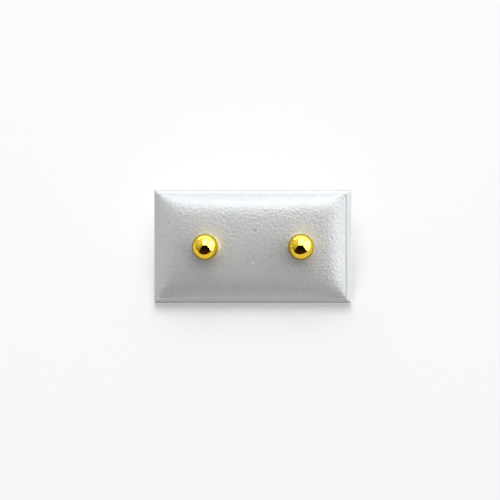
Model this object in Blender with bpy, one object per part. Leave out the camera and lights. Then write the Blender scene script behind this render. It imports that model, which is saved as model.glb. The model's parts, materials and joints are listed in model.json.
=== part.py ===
"""A pair of ball stud earrings pinned on a puffed display card.

Units are metres and +Z is up. The pieces are drawn in the card's own frame: X runs along the card,
Y up it from the lower edge, and Z out of its front, with the back of the board at Z = 0. The card
then leans back until it stands on its lower back edge and on the tips of the two ear posts.
"""

import math
from collections import namedtuple

import bmesh
import bpy
from mathutils import Vector

# Display card
CARD_LENGTH = 0.0381
CARD_HEIGHT = 0.0222
CARD_CORNER = 0.0003
BOARD_THICKNESS = 0.0010

# Puffed front of the card
COVER_MARGIN = 0.0001
PAD_RISE = 0.0030
BORDER_WIDTH = 0.0011
SHOULDER_WIDTH = 0.0024
CROWN_WIDTH = 0.0036
PAD_CORNER = 0.0022

# Studs
STUD_SPACING = 0.0183
BALL_DIAMETER = 0.0050
POST_DIAMETER = 0.0008
POST_LENGTH = 0.0100
POST_CHAMFER = 0.00012
NOTCH_WIDTH = 0.0005
NOTCH_DEPTH = 0.00012
NOTCH_FROM_TIP = 0.0012
SOLDER_FLARE = 0.00022

# Friction backs
CLUTCH_PLATE_WIDTH = 0.0042
CLUTCH_WING_WIDTH = 0.0028
CLUTCH_CURL_RADIUS = 0.00105
CLUTCH_CURL_TURN = math.radians(285)
CLUTCH_CURL_TIGHTENING = 0.00025
CLUTCH_STRIP = 0.00025

# Fits
SEAT_GAP = 0.0002
POST_CLEARANCE = 0.0002
CLUTCH_CLEARANCE = 0.0001

# Facets
CORNER_STEPS = 5
BALL_SIDES = 28
BALL_RINGS = 14
HOLE_SIDES = 16
CURL_STEPS = 14
PLATE_STEPS = 8

# Heights of the layers above the back of the board
PAD_BASE = BOARD_THICKNESS + SEAT_GAP
PAD_TOP = PAD_BASE + PAD_RISE
BALL_BASE = PAD_TOP + SEAT_GAP
POST_TIP = BALL_BASE - POST_LENGTH
STUD_HEIGHT = CARD_HEIGHT / 2
POST_RADIUS = POST_DIAMETER / 2
BALL_RADIUS = BALL_DIAMETER / 2
TIP_RADIUS = POST_RADIUS - POST_CHAMFER

# The lower edge of each post tip stands on the same level as the lower back edge of the board
LEAN = math.atan2(-POST_TIP, STUD_HEIGHT - TIP_RADIUS)

# Rings of the puffed front, from its cut edge inwards. The first three columns are shares of the
# border, shoulder and crown widths, then a share of the corner radius and a share of the rise.
PadRing = namedtuple("PadRing", "border shoulder crown corner rise")
PAD_RINGS = (
    PadRing(0.00, 0.00, 0.00, 0.14, 0.10),
    PadRing(0.50, 0.00, 0.00, 0.16, 0.20),
    PadRing(0.84, 0.00, 0.00, 0.20, 0.28),
    PadRing(1.00, 0.00, 0.00, 0.24, 0.24),
    PadRing(1.00, 0.12, 0.00, 0.34, 0.42),
    PadRing(1.00, 0.34, 0.00, 0.50, 0.66),
    PadRing(1.00, 0.64, 0.00, 0.70, 0.83),
    PadRing(1.00, 1.00, 0.00, 0.84, 0.92),
    PadRing(1.00, 1.00, 0.45, 0.94, 0.97),
    PadRing(1.00, 1.00, 1.00, 1.00, 1.00),
)


def clear_scene():
    """Remove the objects that the scene starts with."""
    for thing in list(bpy.data.objects):
        bpy.data.objects.remove(thing, do_unlink=True)


def finish(name, colour, roughness, metallic):
    """A plain Principled material."""
    material = bpy.data.materials.new(name)
    material.use_nodes = True
    shader = material.node_tree.nodes["Principled BSDF"]
    shader.inputs["Base Color"].default_value = (*colour, 1.0)
    shader.inputs["Roughness"].default_value = roughness
    shader.inputs["Metallic"].default_value = metallic
    return material


def add_piece(name, shape, material, lean):
    """Turn a finished bmesh into an object that leans with the card."""
    bmesh.ops.recalc_face_normals(shape, faces=shape.faces)
    mesh = bpy.data.meshes.new(name)
    shape.to_mesh(mesh)
    shape.free()
    piece = bpy.data.objects.new(name, mesh)
    bpy.context.collection.objects.link(piece)
    piece.parent = lean
    if material is not None:
        mesh.materials.append(material)
    return piece


def smooth(piece, degrees):
    """Shade a round piece smooth, with its real edges kept sharp."""
    piece.data.shade_smooth()
    piece.data.set_sharp_from_angle(angle=math.radians(degrees))


def rounded_outline(half_length, half_height, radius, steps):
    """Points of a rounded rectangle about the origin, anticlockwise."""
    radius = min(radius, half_length, half_height)
    points = []
    corners = ((1, 1, 0), (-1, 1, 90), (-1, -1, 180), (1, -1, 270))
    for side_x, side_y, start in corners:
        centre_x = side_x * (half_length - radius)
        centre_y = side_y * (half_height - radius)
        for step in range(steps + 1):
            angle = math.radians(start + 90 * step / steps)
            points.append((centre_x + radius * math.cos(angle), centre_y + radius * math.sin(angle)))
    return points


def ring_at(shape, outline, height):
    """Add an outline's points at a height, about the middle of the card."""
    middle = CARD_HEIGHT / 2
    return [shape.verts.new((x, middle + y, height)) for x, y in outline]


def bridge(shape, lower, upper):
    """Join two rings of equal count with quads."""
    count = len(lower)
    for index in range(count):
        following = (index + 1) % count
        shape.faces.new((lower[index], lower[following], upper[following], upper[index]))


def make_board(material, lean):
    """The flat board that stiffens the card and that the posts run through."""
    shape = bmesh.new()
    outline = rounded_outline(CARD_LENGTH / 2, CARD_HEIGHT / 2, CARD_CORNER, CORNER_STEPS)
    back = ring_at(shape, outline, 0)
    front = ring_at(shape, outline, BOARD_THICKNESS)
    bridge(shape, back, front)
    shape.faces.new(list(reversed(back)))
    shape.faces.new(front)
    return add_piece("backing_board", shape, material, lean)


def make_pad(material, lean):
    """The puffed front: a flat base, a thin border, a pressed groove and a soft crown."""
    shape = bmesh.new()
    half_length = CARD_LENGTH / 2 - COVER_MARGIN
    half_height = CARD_HEIGHT / 2 - COVER_MARGIN
    base_corner = PAD_CORNER * PAD_RINGS[0].corner
    base = ring_at(shape, rounded_outline(half_length, half_height, base_corner, CORNER_STEPS), PAD_BASE)
    shape.faces.new(list(reversed(base)))
    below = base
    for row in PAD_RINGS:
        inset = row.border * BORDER_WIDTH + row.shoulder * SHOULDER_WIDTH + row.crown * CROWN_WIDTH
        outline = rounded_outline(
            half_length - inset, half_height - inset, row.corner * PAD_CORNER, CORNER_STEPS
        )
        ring = ring_at(shape, outline, PAD_BASE + row.rise * PAD_RISE)
        bridge(shape, below, ring)
        below = ring
    shape.faces.new(below)
    pad = add_piece("puff_pad", shape, material, lean)
    smooth(pad, 40)
    return pad


def turn(shape, profile, centre_x, centre_y, sides):
    """Turn a profile of (radius, height) points, top to bottom, about an upright axis."""
    rings = []
    for radius, height in profile:
        if radius == 0:
            rings.append([shape.verts.new((centre_x, centre_y, height))])
            continue
        ring = []
        for side in range(sides):
            angle = math.tau * side / sides
            x = centre_x + radius * math.cos(angle)
            y = centre_y + radius * math.sin(angle)
            ring.append(shape.verts.new((x, y, height)))
        rings.append(ring)
    for upper, lower in zip(rings, rings[1:]):
        for side in range(sides):
            following = (side + 1) % sides
            corners = [upper[side % len(upper)], lower[side % len(lower)]]
            corners += [lower[following % len(lower)], upper[following % len(upper)]]
            shape.faces.new(list(dict.fromkeys(corners)))


def stud_profile():
    """The ball from its top down to the solder, then the post with its notch and chamfered tip."""
    centre = BALL_BASE + BALL_RADIUS
    flare_radius = POST_RADIUS + SOLDER_FLARE
    last_angle = math.pi - math.asin(flare_radius / BALL_RADIUS)
    profile = [(0, centre + BALL_RADIUS)]
    for ring in range(1, BALL_RINGS + 1):
        angle = last_angle * ring / BALL_RINGS
        profile.append((BALL_RADIUS * math.sin(angle), centre + BALL_RADIUS * math.cos(angle)))
    flare_height = profile[-1][1]
    notch_top = POST_TIP + NOTCH_FROM_TIP + NOTCH_WIDTH
    notch_bottom = POST_TIP + NOTCH_FROM_TIP
    notch_radius = POST_RADIUS - NOTCH_DEPTH
    profile += [
        (POST_RADIUS + SOLDER_FLARE * 0.35, flare_height - SOLDER_FLARE * 0.45),
        (POST_RADIUS, flare_height - SOLDER_FLARE),
        (POST_RADIUS, notch_top),
        (notch_radius, notch_top - NOTCH_WIDTH / 3),
        (notch_radius, notch_bottom + NOTCH_WIDTH / 3),
        (POST_RADIUS, notch_bottom),
        (POST_RADIUS, POST_TIP + POST_CHAMFER),
        (TIP_RADIUS, POST_TIP),
        (0, POST_TIP),
    ]
    return profile


def make_stud(name, centre_x, material, lean):
    """A ball and its post, soldered as one solid."""
    shape = bmesh.new()
    turn(shape, stud_profile(), centre_x, STUD_HEIGHT, BALL_SIDES)
    stud = add_piece(name, shape, material, lean)
    smooth(stud, 35)
    return stud


def curl_radius(turned):
    """The radius of a clutch's curl, which tightens as it turns."""
    return CLUTCH_CURL_RADIUS - CLUTCH_CURL_TIGHTENING * turned / CLUTCH_CURL_TURN


def clutch_stations(centre_x):
    """The strip's centre line from one curl's end to the other's, with its normal and half width."""
    half_plate = POST_RADIUS + CLUTCH_CLEARANCE + CLUTCH_STRIP / 2 + curl_radius(math.pi * 3 / 2)
    plate_level = -SEAT_GAP - CLUTCH_STRIP / 2
    wing = CLUTCH_WING_WIDTH / 2
    swell = CLUTCH_PLATE_WIDTH / 2 - wing
    half = []
    for step in range(PLATE_STEPS + 1):
        along = math.sin(math.pi / 2 * step / PLATE_STEPS)
        width = wing + swell * math.sqrt(1 - along * along)
        half.append((half_plate * along, plate_level, 0.0, 1.0, width))
    for step in range(1, CURL_STEPS + 1):
        turned = CLUTCH_CURL_TURN * step / CURL_STEPS
        across = math.sin(turned)
        upward = math.cos(turned)
        x = half_plate + curl_radius(turned) * across
        z = plate_level - CLUTCH_CURL_RADIUS + curl_radius(turned) * upward
        half.append((x, z, across, upward, wing))
    mirrored = [(-x, z, -across, upward, width) for x, z, across, upward, width in reversed(half[1:])]
    stations = []
    for x, z, across, upward, width in mirrored + half:
        stations.append((Vector((centre_x + x, STUD_HEIGHT, z)), Vector((across, 0, upward)), width))
    return stations


def make_clutch(name, centre_x, material, lean):
    """A strip bent into a round plate with a curl on each side that grips the post."""
    shape = bmesh.new()
    sideways = Vector((0, 1, 0))
    rings = []
    for point, normal, half_width in clutch_stations(centre_x):
        outer = point + normal * CLUTCH_STRIP / 2
        inner = point - normal * CLUTCH_STRIP / 2
        corners = (
            outer - sideways * half_width,
            outer + sideways * half_width,
            inner + sideways * half_width,
            inner - sideways * half_width,
        )
        rings.append([shape.verts.new(corner) for corner in corners])
    for ring, following in zip(rings, rings[1:]):
        bridge(shape, ring, following)
    shape.faces.new(rings[0])
    shape.faces.new(rings[-1])
    clutch = add_piece(name, shape, material, lean)
    smooth(clutch, 40)
    return clutch


def bore(piece, centre_x, radius, low, high, lean):
    """Cut a round hole for a post through a piece, between two heights."""
    shape = bmesh.new()
    turn(shape, [(0, high), (radius, high), (radius, low), (0, low)], centre_x, STUD_HEIGHT, HOLE_SIDES)
    cutter = add_piece(f"{piece.name}_bore", shape, None, lean)
    cutter.hide_render = True
    cutter.display_type = "WIRE"
    cut = piece.modifiers.new("post hole", "BOOLEAN")
    cut.operation = "DIFFERENCE"
    cut.solver = "EXACT"
    cut.object = cutter


def stand_on_ground(lean, pieces):
    """Lean the card back, then put the middle of the bottom of its box at the origin."""
    lean.rotation_euler = (LEAN, 0, 0)
    bpy.context.view_layer.update()
    graph = bpy.context.evaluated_depsgraph_get()
    corners = []
    for piece in pieces:
        evaluated = piece.evaluated_get(graph)
        corners += [evaluated.matrix_world @ vertex.co for vertex in evaluated.data.vertices]
    lows = [min(corner[axis] for corner in corners) for axis in range(3)]
    highs = [max(corner[axis] for corner in corners) for axis in range(3)]
    lean.location = (-(lows[0] + highs[0]) / 2, -(lows[1] + highs[1]) / 2, -lows[2])
    bpy.context.view_layer.update()


def main():
    """Build the card, then a stud and a clutch on each side of it."""
    clear_scene()
    lean = bpy.data.objects.new("card_lean", None)
    bpy.context.collection.objects.link(lean)

    white_board = finish("white_board", (0.86, 0.86, 0.85), 0.75, 0.0)
    leatherette = finish("silver_white_leatherette", (0.66, 0.67, 0.67), 0.38, 0.0)
    gold = finish("polished_gold", (0.95, 0.72, 0.22), 0.08, 1.0)

    board = make_board(white_board, lean)
    pad = make_pad(leatherette, lean)
    pieces = [board, pad]
    hole = POST_RADIUS + POST_CLEARANCE
    for side, sign in (("left", -1), ("right", 1)):
        centre_x = sign * STUD_SPACING / 2
        stud = make_stud(f"ear_stud_{side}", centre_x, gold, lean)
        clutch = make_clutch(f"clutch_{side}", centre_x, gold, lean)
        bore(board, centre_x, hole, -SEAT_GAP / 2, BOARD_THICKNESS + SEAT_GAP / 2, lean)
        bore(pad, centre_x, hole, PAD_BASE - SEAT_GAP / 2, PAD_TOP + SEAT_GAP / 2, lean)
        plate_back = -SEAT_GAP - CLUTCH_STRIP
        bore(clutch, centre_x, POST_RADIUS + CLUTCH_CLEARANCE, plate_back - SEAT_GAP / 2, 0, lean)
        pieces += [stud, clutch]
    stand_on_ground(lean, pieces)


main()
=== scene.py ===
"""The looks of a pair of ball stud earrings on a puffed display card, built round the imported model.

Lengths are metres. The pieces are drawn in the card's own axes, X along the card, Y up it from its
lower edge and Z out of its front, and each finished mesh is then laid in the model's place.
"""

import sys

import json
import logging
import math
from collections.abc import Iterable, Sequence
from dataclasses import dataclass, field
from enum import Enum
from typing import Any

import bmesh
import bpy
import numpy as np
from mathutils import Matrix, Vector

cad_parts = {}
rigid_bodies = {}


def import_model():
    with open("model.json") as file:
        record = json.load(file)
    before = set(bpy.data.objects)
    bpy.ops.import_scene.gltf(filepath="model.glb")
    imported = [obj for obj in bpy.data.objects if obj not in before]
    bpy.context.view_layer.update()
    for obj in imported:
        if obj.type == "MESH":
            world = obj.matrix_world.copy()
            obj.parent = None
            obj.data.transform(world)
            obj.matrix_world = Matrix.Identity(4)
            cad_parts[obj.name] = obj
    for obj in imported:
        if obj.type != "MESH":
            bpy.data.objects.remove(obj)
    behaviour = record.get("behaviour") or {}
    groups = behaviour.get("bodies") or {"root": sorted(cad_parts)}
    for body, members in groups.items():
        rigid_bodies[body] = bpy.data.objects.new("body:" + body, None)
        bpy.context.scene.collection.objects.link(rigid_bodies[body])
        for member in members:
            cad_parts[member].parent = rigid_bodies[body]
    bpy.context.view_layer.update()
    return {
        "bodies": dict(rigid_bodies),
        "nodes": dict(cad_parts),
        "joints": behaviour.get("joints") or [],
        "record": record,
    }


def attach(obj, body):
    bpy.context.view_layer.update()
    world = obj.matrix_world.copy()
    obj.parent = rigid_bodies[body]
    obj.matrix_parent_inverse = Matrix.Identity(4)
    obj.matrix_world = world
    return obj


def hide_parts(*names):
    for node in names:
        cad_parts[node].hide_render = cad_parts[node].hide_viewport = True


log = logging.getLogger("display_card")

PHOTO_SCALE = 0.000193
PHOTO_CARD_MIDDLE = (252.6, 246.4)
BEVEL_LIMIT = math.radians(50)
NUMBER_SOCKETS = {float: "NodeSocketFloat", int: "NodeSocketInt"}

Colour = tuple[float, float, float]
Socket = bpy.types.NodeSocket
Group = tuple["Wiring", bpy.types.Node, bpy.types.Node]


class Side(Enum):
    """The two halves of the card, as seen from its front."""

    LEFT = -1
    RIGHT = 1

    @property
    def label(self) -> str:
        """The word that ends a piece's name."""
        return self.name.lower()


# Node trees


class Wiring:
    """A node tree that is filled in node by node."""

    def __init__(self, tree: bpy.types.NodeTree) -> None:
        """Start from an empty tree.

        Args:
            tree: The tree to fill in.
        """
        self.tree = tree
        tree.nodes.clear()

    def feed(self, socket: Socket, value: Any) -> None:
        """Give an input a value, or a link where the value is another node's output.

        Args:
            socket: The input.
            value: A plain value, a colour of three numbers or an output socket.
        """
        if isinstance(value, bpy.types.NodeSocket):
            self.tree.links.new(value, socket)
        elif socket.type == "RGBA":
            socket.default_value = (*value, 1.0)
        else:
            socket.default_value = value

    def fill(self, node: bpy.types.Node, inputs: dict[Any, Any]) -> None:
        """Feed several inputs of a node, by name or number."""
        for key, value in inputs.items():
            self.feed(node.inputs[key], value)

    def add(self, kind: str, inputs: dict[Any, Any] | None = None, **settings: Any) -> bpy.types.Node:
        """Add a node.

        Args:
            kind: The node's type.
            inputs: Values or output sockets by input name or number.
            **settings: The node's own options.

        Returns:
            The new node.
        """
        node = self.tree.nodes.new(kind)
        for name, value in settings.items():
            setattr(node, name, value)
        self.fill(node, inputs or {})
        return node

    def sum(self, operation: str, *values: Any) -> Socket:
        """The result of a Math node, whose operands are plain numbers or outputs."""
        return self.add("ShaderNodeMath", dict(enumerate(values)), operation=operation).outputs[0]

    def ramp(self, value: Any, low: float, high: float, to_low: float = 0.0, to_high: float = 1.0) -> Socket:
        """The value, mapped smoothly from low and high to to_low and to_high."""
        inputs = {"Value": value, 1: low, 2: high, 3: to_low, 4: to_high}
        return self.add("ShaderNodeMapRange", inputs, interpolation_type="SMOOTHSTEP").outputs[0]

    def scaled(self, vector: Any, scale: Any) -> Socket:
        """The vector, multiplied by a number."""
        inputs = {0: vector, "Scale": scale}
        return self.add("ShaderNodeVectorMath", inputs, operation="SCALE").outputs[0]

    def mixed(self, share: Any, first: Any, second: Any) -> Socket:
        """The first colour with a share of the second."""
        return self.add("ShaderNodeMix", {0: share, 6: first, 7: second}, data_type="RGBA").outputs[2]

    def tinted(self, tone: Any, mask: Any, share: float, colour: Colour) -> Socket:
        """The tone with a colour on top, which covers the share of it where the mask is 1."""
        return self.mixed(self.sum("MULTIPLY", mask, share), tone, colour)

    def noise(self, place: Any, scale: Any, detail: float, roughness: float = 0.5) -> Socket:
        """The grey value of a Noise Texture node."""
        inputs = {"Vector": place, "Scale": scale, "Detail": detail, "Roughness": roughness}
        return self.add("ShaderNodeTexNoise", inputs).outputs["Fac"]

    def bump(self, height: Any, distance: float, strength: float, invert: bool = False) -> Socket:
        """The normal over a relief whose height of 1 stands for the distance."""
        inputs = {"Strength": strength, "Distance": distance, "Height": height}
        return self.add("ShaderNodeBump", inputs, invert=invert).outputs[0]

    def mottle(self, effects: "SharedEffects", finish: "LeatheretteFinish | PaperboardFinish") -> Any:
        """Add the mottle group at a finish's own sizes.

        Args:
            effects: The shared shader groups.
            finish: The finish, which names the sizes of its clouds and specks.

        Returns:
            The outputs Cloud and Specks.
        """
        sizes = {
            "Cloud Size": finish.cloud_size,
            "Speck Size": finish.speck_size,
            "Speck Share": finish.speck_chance,
        }
        return self.add("ShaderNodeGroup", sizes, node_tree=effects.mottle).outputs

    def place(self) -> Socket:
        """The shaded point in the object's axes."""
        return self.add("ShaderNodeTexCoord").outputs["Object"]

    def attribute(self, name: str, part: str = "Fac") -> Socket:
        """A mesh attribute, as a number or, with the part Vector, as a vector."""
        return self.add("ShaderNodeAttribute", attribute_name=name).outputs[part]


def open_group(name: str, kind: str, inputs: dict[str, Any], outputs: dict[str, str]) -> Group:
    """Make an empty node group with named sockets.

    Args:
        name: The group's name.
        kind: "ShaderNodeTree" or "GeometryNodeTree".
        inputs: Default number by input name, or socket type where an input has no default.
        outputs: Socket type by output name.

    Returns:
        The group's wiring, its input node and its output node.
    """
    tree = bpy.data.node_groups.new(name, kind)
    for label, value in inputs.items():
        socket_type = NUMBER_SOCKETS.get(type(value), value)
        socket = tree.interface.new_socket(label, in_out="INPUT", socket_type=socket_type)
        if value != socket_type:
            socket.default_value = value
    for label, socket_type in outputs.items():
        tree.interface.new_socket(label, in_out="OUTPUT", socket_type=socket_type)
    wiring = Wiring(tree)
    return wiring, wiring.add("NodeGroupInput"), wiring.add("NodeGroupOutput")


def open_geometry(name: str, numbers: dict[str, float | int]) -> Group:
    """Make a geometry tree that takes a mesh, a material and named numbers.

    Args:
        name: The tree's name.
        numbers: Default number by input name.

    Returns:
        The tree's wiring, its input node and its output node.
    """
    inputs = {"Geometry": "NodeSocketGeometry", **numbers, "Material": "NodeSocketMaterial"}
    group = open_group(name, "GeometryNodeTree", inputs, {"Geometry": "NodeSocketGeometry"})
    group[0].tree.is_modifier = True
    return group


def close_geometry(group: Group, shape: Socket) -> bpy.types.NodeTree:
    """End a geometry tree with real geometry that has its material set.

    Args:
        group: What open_geometry returned.
        shape: The geometry.

    Returns:
        The finished tree.
    """
    wiring, start, end = group
    real = wiring.add("GeometryNodeRealizeInstances", {0: shape}).outputs[0]
    inputs = {"Geometry": real, "Material": start.outputs["Material"]}
    wiring.feed(end.inputs[0], wiring.add("GeometryNodeSetMaterial", inputs).outputs[0])
    return wiring.tree


# Objects and meshes


def linked(name: str, data: Any) -> bpy.types.Object:
    """Put an object into the scene.

    Args:
        name: The object's name.
        data: Its mesh, light or camera.

    Returns:
        The object.
    """
    thing = bpy.data.objects.new(name, data)
    bpy.context.scene.collection.objects.link(thing)
    return thing


def gathered(name: str, pieces: Iterable[bpy.types.Object]) -> bpy.types.Collection:
    """Gather pieces in a collection that a light can be kept to.

    Args:
        name: The collection's name.
        pieces: The pieces.

    Returns:
        The collection.
    """
    collection = bpy.data.collections.new(name)
    for piece in pieces:
        collection.objects.link(piece)
    return collection


def grown(
    name: str, source: bpy.types.Mesh, tree: bpy.types.NodeTree, values: dict[str, Any]
) -> bpy.types.Mesh:
    """Run a geometry tree on a mesh and return the result as a plain mesh.

    Args:
        name: The name of the result.
        source: The mesh that the tree starts from, which is used up.
        tree: The geometry tree.
        values: The tree's inputs by name.

    Returns:
        The finished mesh.
    """
    carrier = linked(name, source)
    modifier = carrier.modifiers.new(name, "NODES")
    modifier.node_group = tree
    for item in tree.interface.items_tree:
        if item.item_type == "SOCKET" and item.in_out == "INPUT" and item.name in values:
            modifier[item.identifier] = values[item.name]
    return flattened(carrier)


def flattened(carrier: bpy.types.Object) -> bpy.types.Mesh:
    """Apply every modifier of a carrier object and remove the carrier.

    Args:
        carrier: The object with live modifiers.

    Returns:
        Its evaluated mesh.
    """
    graph = bpy.context.evaluated_depsgraph_get()
    graph.update()
    finished = carrier.evaluated_get(graph)
    mesh = bpy.data.meshes.new_from_object(finished, preserve_all_data_layers=True, depsgraph=graph)
    mesh.name = carrier.name
    discard(carrier)
    return mesh


def discard(thing: bpy.types.Object) -> None:
    """Remove an object together with its mesh."""
    used = thing.data
    bpy.data.objects.remove(thing, do_unlink=True)
    bpy.data.meshes.remove(used)


def mesh_from(name: str, shape: bmesh.types.BMesh) -> bpy.types.Mesh:
    """Turn a shape that was built in bmesh into a mesh.

    Args:
        name: The mesh's name.
        shape: The shape, which is used up.

    Returns:
        The mesh.
    """
    mesh = bpy.data.meshes.new(name)
    shape.to_mesh(mesh)
    shape.free()
    return mesh


def mesh_of(name: str, points: Iterable[Sequence[float]], faces: Iterable[Sequence[int]]) -> bpy.types.Mesh:
    """Make a mesh from points and faces, with its normals turned outwards.

    Args:
        name: The mesh's name.
        points: Its vertices.
        faces: Vertex numbers of each face.

    Returns:
        The mesh.
    """
    mesh = bpy.data.meshes.new(name)
    mesh.from_pydata([tuple(point) for point in points], [], [tuple(face) for face in faces])
    shape = bmesh.new()
    shape.from_mesh(mesh)
    bmesh.ops.recalc_face_normals(shape, faces=shape.faces)
    shape.to_mesh(mesh)
    shape.free()
    return mesh


def grid_faces(rows: int, columns: int) -> list[tuple[int, ...]]:
    """Number the corners of each cell of a grid of points, row by row.

    Args:
        rows: The rows of cells.
        columns: The cells in a row.

    Returns:
        The four corners of each cell.
    """
    stride = columns + 1
    corners = (0, 1, stride + 1, stride)
    return [
        tuple(row * stride + column + corner for corner in corners)
        for row in range(rows)
        for column in range(columns)
    ]


def circle(middle: Vector, radius: float, sides: int) -> list[tuple[float, float]]:
    """The corners of a regular polygon round a middle, anticlockwise."""
    turns = [math.tau * step / sides for step in range(sides)]
    return [(middle.x + radius * math.cos(turn), middle.y + radius * math.sin(turn)) for turn in turns]


def store(mesh: bpy.types.Mesh, name: str, numbers: np.ndarray) -> None:
    """Write a number for each vertex as an attribute of the mesh."""
    attribute = mesh.attributes.new(name, "FLOAT", "POINT")
    attribute.data.foreach_set("value", numbers.astype(np.float32))


def soften(carrier: bpy.types.Object, name: str, width: float, segments: int) -> None:
    """Bevel the sharp edges of an object.

    Args:
        carrier: The object.
        name: The modifier's name.
        width: The bevel's width.
        segments: Its number of strips.
    """
    bevel = carrier.modifiers.new(name, "BEVEL")
    bevel.width = width
    bevel.segments = segments
    bevel.limit_method = "ANGLE"
    bevel.angle_limit = BEVEL_LIMIT


def smooth(mesh: bpy.types.Mesh, degrees: float) -> None:
    """Shade a mesh smooth, except at edges that bend more than an angle."""
    mesh.shade_smooth()
    mesh.set_sharp_from_angle(angle=math.radians(degrees))


# The card's axes


@dataclass(frozen=True)
class Extent:
    """The lowest and highest corner of a node in the card's axes."""

    low: Vector
    high: Vector

    @property
    def middle(self) -> Vector:
        """The middle of the box."""
        return (self.low + self.high) / 2

    @property
    def radius(self) -> float:
        """Half the length along the card, which is a stud's ball radius."""
        return (self.high.x - self.low.x) / 2


@dataclass(frozen=True)
class CardSpace:
    """Where the card's axes lie in the model's frame."""

    to_model: Matrix
    nodes: dict[str, bpy.types.Object]

    @classmethod
    def of(cls, frame: dict[str, Any]) -> "CardSpace":
        """Read the lean of the card from its foot, and its place from the board.


        Returns:
            The card's axes.
        """
        foot = next(mount for mount in frame["record"]["mounts"] if mount["name"] == "card_foot")
        up = -Vector(foot["axis"]).normalized()
        along = Vector((1.0, 0.0, 0.0))
        axes = Matrix((along, up, along.cross(up)))
        corners = [axes @ vertex.co for vertex in frame["nodes"]["backing_board"].data.vertices]
        left = min(corner.x for corner in corners)
        right = max(corner.x for corner in corners)
        bottom = min(corner.y for corner in corners)
        back = min(corner.z for corner in corners)
        origin = Vector(((left + right) / 2, bottom, back))
        turned = axes.transposed()
        return cls(Matrix.Translation(turned @ origin) @ turned.to_4x4(), dict(frame["nodes"]))

    def box(self, node: str) -> Extent:
        """Measure a node in the card's axes.

        Args:
            node: The node's name.

        Returns:
            Its lowest and highest corner.
        """
        to_card = self.to_model.inverted()
        corners = [to_card @ vertex.co for vertex in self.nodes[node].data.vertices]
        low = Vector([min(corner[axis] for corner in corners) for axis in range(3)])
        high = Vector([max(corner[axis] for corner in corners) for axis in range(3)])
        return Extent(low, high)

    def place(self, name: str, mesh: bpy.types.Mesh, material: bpy.types.Material) -> bpy.types.Object:
        """Lay a finished mesh in the model's place, as a piece whose object is at the origin.

        Args:
            name: The piece's name.
            mesh: The mesh in the card's axes.
            material: Its finish.

        Returns:
            The piece.
        """
        mesh.transform(self.to_model)
        mesh.materials.clear()
        mesh.materials.append(material)
        piece = linked(name, mesh)
        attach(piece, "root")
        log.info("%s: %d faces", name, len(mesh.polygons))
        return piece


# Shared effects


@dataclass(frozen=True)
class SharedEffects:
    """Shader groups that more than one finish uses."""

    mottle: bpy.types.NodeTree
    scuffs: bpy.types.NodeTree

    @classmethod
    def build(cls) -> "SharedEffects":
        """Build each group once."""
        return cls(cls.make_mottle(), cls.make_scuffs())

    @staticmethod
    def make_mottle() -> bpy.types.NodeTree:
        """A cloudy variation with a few small dark specks.

        Returns:
            The group, with the outputs Cloud and Specks.
        """
        inputs = {"Cloud Size": 0.004, "Speck Size": 0.0006, "Speck Share": 0.06}
        outputs = {"Cloud": "NodeSocketFloat", "Specks": "NodeSocketFloat"}
        wiring, start, end = open_group("mottle", "ShaderNodeTree", inputs, outputs)
        place = wiring.place()
        cloud_scale = wiring.sum("DIVIDE", 1.0, start.outputs["Cloud Size"])
        cloud = wiring.noise(place, cloud_scale, 4.0, 0.6)
        speck_scale = wiring.sum("DIVIDE", 1.0, start.outputs["Speck Size"])
        cells = wiring.add("ShaderNodeTexVoronoi", {"Vector": place, "Scale": speck_scale})
        near = wiring.ramp(cells.outputs["Distance"], 0.30, 0.12)
        chance = wiring.add("ShaderNodeSeparateColor", {0: cells.outputs["Color"]}).outputs[0]
        chosen = wiring.sum("LESS_THAN", chance, start.outputs["Speck Share"])
        wiring.fill(end, {"Cloud": cloud, "Specks": wiring.sum("MULTIPLY", near, chosen)})
        return wiring.tree

    @staticmethod
    def make_scuffs() -> bpy.types.NodeTree:
        """Fine handling scratches and a smear of fingermarks.

        Returns:
            The group, with the outputs Scratch and Smear.
        """
        inputs = {"Scratch Size": 0.0002, "Smear Size": 0.0015}
        outputs = {"Scratch": "NodeSocketFloat", "Smear": "NodeSocketFloat"}
        wiring, start, end = open_group("scuffs", "ShaderNodeTree", inputs, outputs)
        place = wiring.place()
        stretch = (1.0, 0.06, 1.0)
        layers = []
        for turn in (0.4, 1.9):
            mapping = {"Vector": place, "Rotation": (turn, turn * 0.6, turn), "Scale": stretch}
            turned = wiring.add("ShaderNodeMapping", mapping).outputs[0]
            scale = wiring.sum("DIVIDE", 1.0, start.outputs["Scratch Size"])
            off_middle = wiring.sum("SUBTRACT", wiring.noise(turned, scale, 1.0), 0.5)
            layers.append(wiring.ramp(wiring.sum("ABSOLUTE", off_middle), 0.012, 0.0))
        smear_scale = wiring.sum("DIVIDE", 1.0, start.outputs["Smear Size"])
        smear = wiring.ramp(wiring.noise(place, smear_scale, 3.0), 0.45, 0.7)
        wiring.fill(end, {"Scratch": wiring.sum("MAXIMUM", *layers), "Smear": smear})
        return wiring.tree


def new_surface(name: str) -> tuple[Wiring, bpy.types.Node, bpy.types.Material]:
    """Start a material with its Principled shader wired to the output.

    Args:
        name: The material's name.

    Returns:
        The wiring, the shader node and the material.
    """
    material = bpy.data.materials.new(name)
    material.use_nodes = True
    wiring = Wiring(material.node_tree)
    shader = wiring.add("ShaderNodeBsdfPrincipled")
    wiring.add("ShaderNodeOutputMaterial", {"Surface": shader.outputs[0]})
    return wiring, shader, material


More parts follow.
